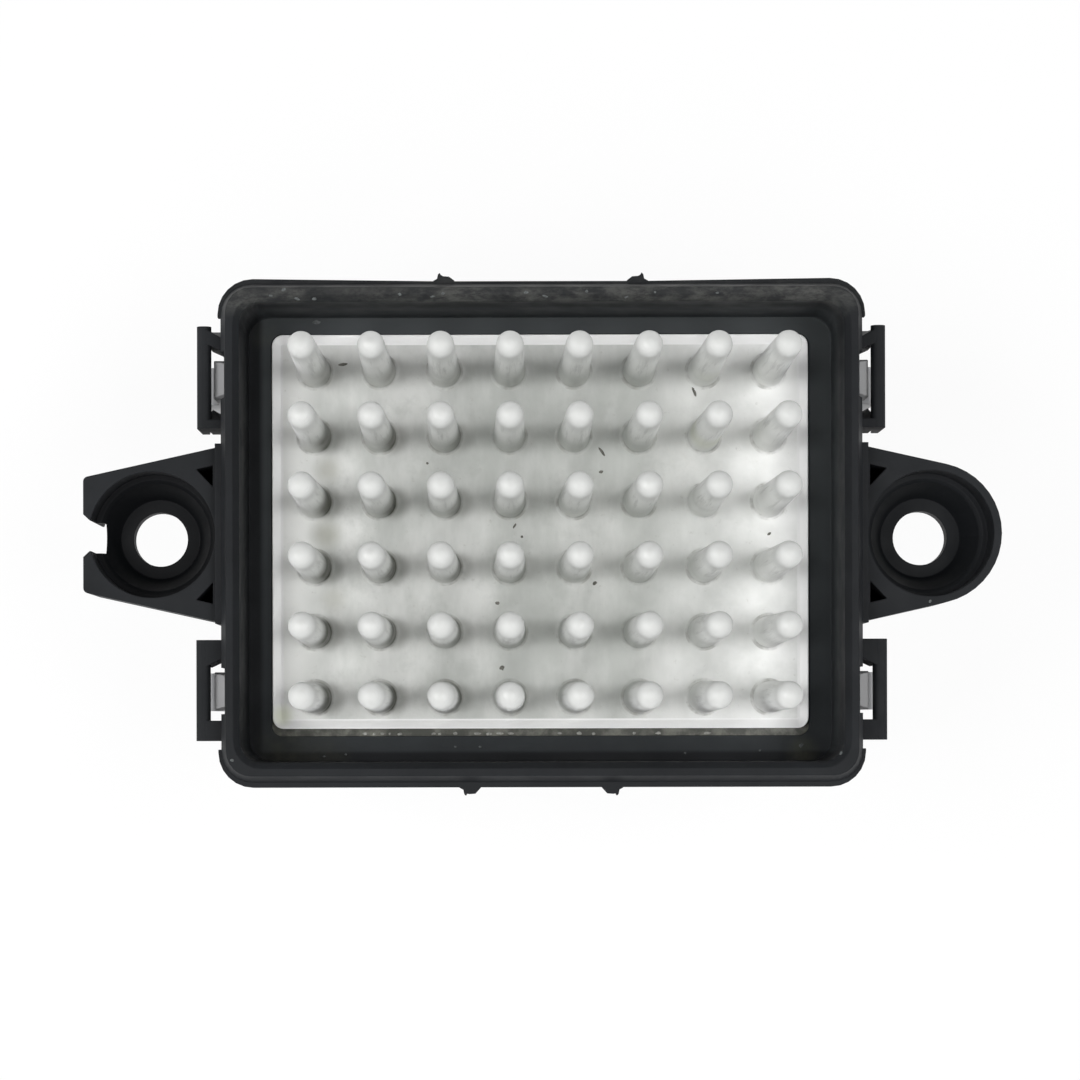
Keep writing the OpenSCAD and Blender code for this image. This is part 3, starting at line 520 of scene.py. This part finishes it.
def grey_nylon():
    """Light grey nylon, a little cloudy, rubbed darker in places by handling."""
    finish, nodes, links, shader = start_finish("cover_nylon")
    tone = between(nodes, links, cloudy(nodes, links, 90, 5, 0.6), 0.3, 0.75)
    grey = blend_colours(nodes, links, tone, (0.37, 0.37, 0.378), (0.42, 0.42, 0.425))
    rubbed = between(nodes, links, cloudy(nodes, links, 800, 4, 0.7), 0.58, 0.78, 0.0, 0.3)
    links.new(blend_colours(nodes, links, rubbed, grey, (0.26, 0.255, 0.245)), shader.inputs["Base Color"])
    gloss = between(nodes, links, cloudy(nodes, links, 240, 3, 0.5), 0.3, 0.7, 0.38, 0.52)
    links.new(gloss, shader.inputs["Roughness"])
    relief(nodes, links, shader, cloudy(nodes, links, 2600, 3, 0.6), 0.01 * mm, 0.2 * mm)
    return finish


dress("rear_cover", grey_nylon())

# Grit on the frame: pale mineral specks that the air has left on the rim, in the well and on the right ear.
# They stick to the moulding, thickest at the rim's upper left corner.

crumbs("rim_grit", "frame", (0.115, 0.125, 0.125), 0.12, [
    (-31.3, 27.3, 0.45, 0.3, 0), (-29.8, 28.0, 0.5, 0.35, 20), (-28.3, 27.0, 0.7, 0.35, -30),
    (-26.3, 27.0, 0.6, 0.4, 10), (-26.9, 26.2, 0.9, 0.5, 0), (-35.9, -26.4, 0.4, 0.35, 0),
    (34.6, -25.7, 0.45, 0.4, 0), (31.4, -24.9, 0.6, 0.45, 30), (-16.4, 27.4, 0.4, 0.3, 0),
    (-12.6, 27.2, 0.6, 0.25, 10), (-11.4, 27.5, 0.4, 0.3, 0), (-1.8, 27.6, 0.5, 0.35, 15),
    (0.4, 27.2, 0.7, 0.3, -20), (5.2, 27.7, 0.35, 0.3, 0), (9.8, 27.1, 0.5, 0.25, 30),
    (13.1, 27.6, 0.3, 0.25, 0), (20.3, 27.5, 0.35, 0.25, 0), (-26.1, -26.1, 0.3, 0.25, 0),
    (-23.5, -25.9, 0.3, 0.25, 0), (-10.3, -25.0, 0.3, 0.25, 0), (-7.3, -25.0, 0.35, 0.25, 0),
    (17.4, -25.8, 0.3, 0.25, 0), (26.4, -25.5, 0.3, 0.25, 0), (45.5, -8.0, 0.45, 0.3, 60),
])

# Floor: a plain pale sheet of studio paper, laid flat under the object. To the camera it is nearly
# white, and it keeps a faint shadow round the shrouds' feet.

floor_reach = 4.0
floor_drop = 0.05 * mm
floor_glow = 0.9

floor_mesh = bmesh.new()
bmesh.ops.create_grid(floor_mesh, x_segments=8, y_segments=8, size=floor_reach)
sheet = bpy.data.meshes.new("floor")
floor_mesh.to_mesh(sheet)
floor_mesh.free()
floor = bpy.data.objects.new("floor", sheet)
bpy.context.scene.collection.objects.link(floor)
floor.location.z = -floor_drop


def pale_paper():
    """Pale matt paper that is nearly white wherever it is looked at, straight or in a reflection."""
    finish, nodes, links, shader = start_finish("pale_paper")
    shader.inputs["Base Color"].default_value = (0.86, 0.86, 0.86, 1)
    shader.inputs["Roughness"].default_value = 0.9
    glow = nodes.new("ShaderNodeEmission")
    glow.inputs["Strength"].default_value = 1.0
    rays = nodes.new("ShaderNodeLightPath")
    looked_at = rays.outputs["Is Camera Ray"]
    for kind in ("Is Glossy Ray", "Is Transmission Ray"):
        either = nodes.new("ShaderNodeMath")
        either.operation = "MAXIMUM"
        links.new(looked_at, either.inputs[0])
        links.new(rays.outputs[kind], either.inputs[1])
        looked_at = either.outputs["Value"]
    mix = nodes.new("ShaderNodeMixShader")
    links.new(times(nodes, links, looked_at, floor_glow), mix.inputs["Fac"])
    links.new(shader.outputs["BSDF"], mix.inputs[1])
    links.new(glow.outputs["Emission"], mix.inputs[2])
    links.new(mix.outputs["Shader"], nodes["Material Output"].inputs["Surface"])
    return finish


sheet.materials.append(pale_paper())

# Light: a small studio with bright pale walls and a dark ceiling, which light the pins from low all round.
# Three soft boxes stand high on the left, on the right and in front. The side ones are long across the
# pins' rows, so that the pins of one row shade each other and the lanes between rows stay bright.

wall_strength = 1.7
wall_top = (0.30, 0.40)
light_aim = (0, 0, 0.04)

surround = bpy.data.worlds.new("studio")
bpy.context.scene.world = surround
surround.use_nodes = True
walls, wires = surround.node_tree.nodes, surround.node_tree.links
outward = walls.new("ShaderNodeTexCoord")
height = walls.new("ShaderNodeSeparateXYZ")
wires.new(outward.outputs["Generated"], height.inputs["Vector"])
wall_glow = between(walls, wires, height.outputs["Z"], *wall_top, wall_strength, 0.0)
wires.new(wall_glow, walls["Background"].inputs["Strength"])
walls["Background"].inputs["Color"].default_value = (0.97, 0.98, 1.0, 1)


def soft_box(name, place, wide, tall, watts):
    """A soft box at a place, turned to the light's aim. Metres and watts."""
    lamp = bpy.data.lights.new(name, "AREA")
    lamp.shape = "RECTANGLE"
    lamp.size, lamp.size_y = wide, tall
    lamp.energy = watts
    box = bpy.data.objects.new(name, lamp)
    bpy.context.scene.collection.objects.link(box)
    box.location = place
    box.rotation_euler = (Vector(light_aim) - Vector(place)).to_track_quat("-Z", "Y").to_euler()
    box.visible_camera = False


soft_box("left_box", (-0.42, -0.04, 0.62), 0.42, 0.36, 3.3)
soft_box("right_box", (0.3, -0.04, 0.68), 0.42, 0.25, 2.6)
soft_box("front_box", (0.0, -0.4, 0.7), 0.5, 0.25, 1.5)

# Camera: it looks straight down on the cooling plate. The photograph is cut from the upper part of a
# larger picture, which is what the shift stands for.

eye = bpy.data.cameras.new("camera")
eye.sensor_width = 36.0
eye.lens = 84.16
eye.shift_x = 0.0404
eye.shift_y = 0.1723
camera = bpy.data.objects.new("camera", eye)
bpy.context.scene.collection.objects.link(camera)
camera.location = (-0.00534, -0.02251, 0.33778)
camera.rotation_euler.z = math.radians(-0.124)
bpy.context.scene.camera = camera
bpy.context.scene.view_settings.view_transform = "Standard"
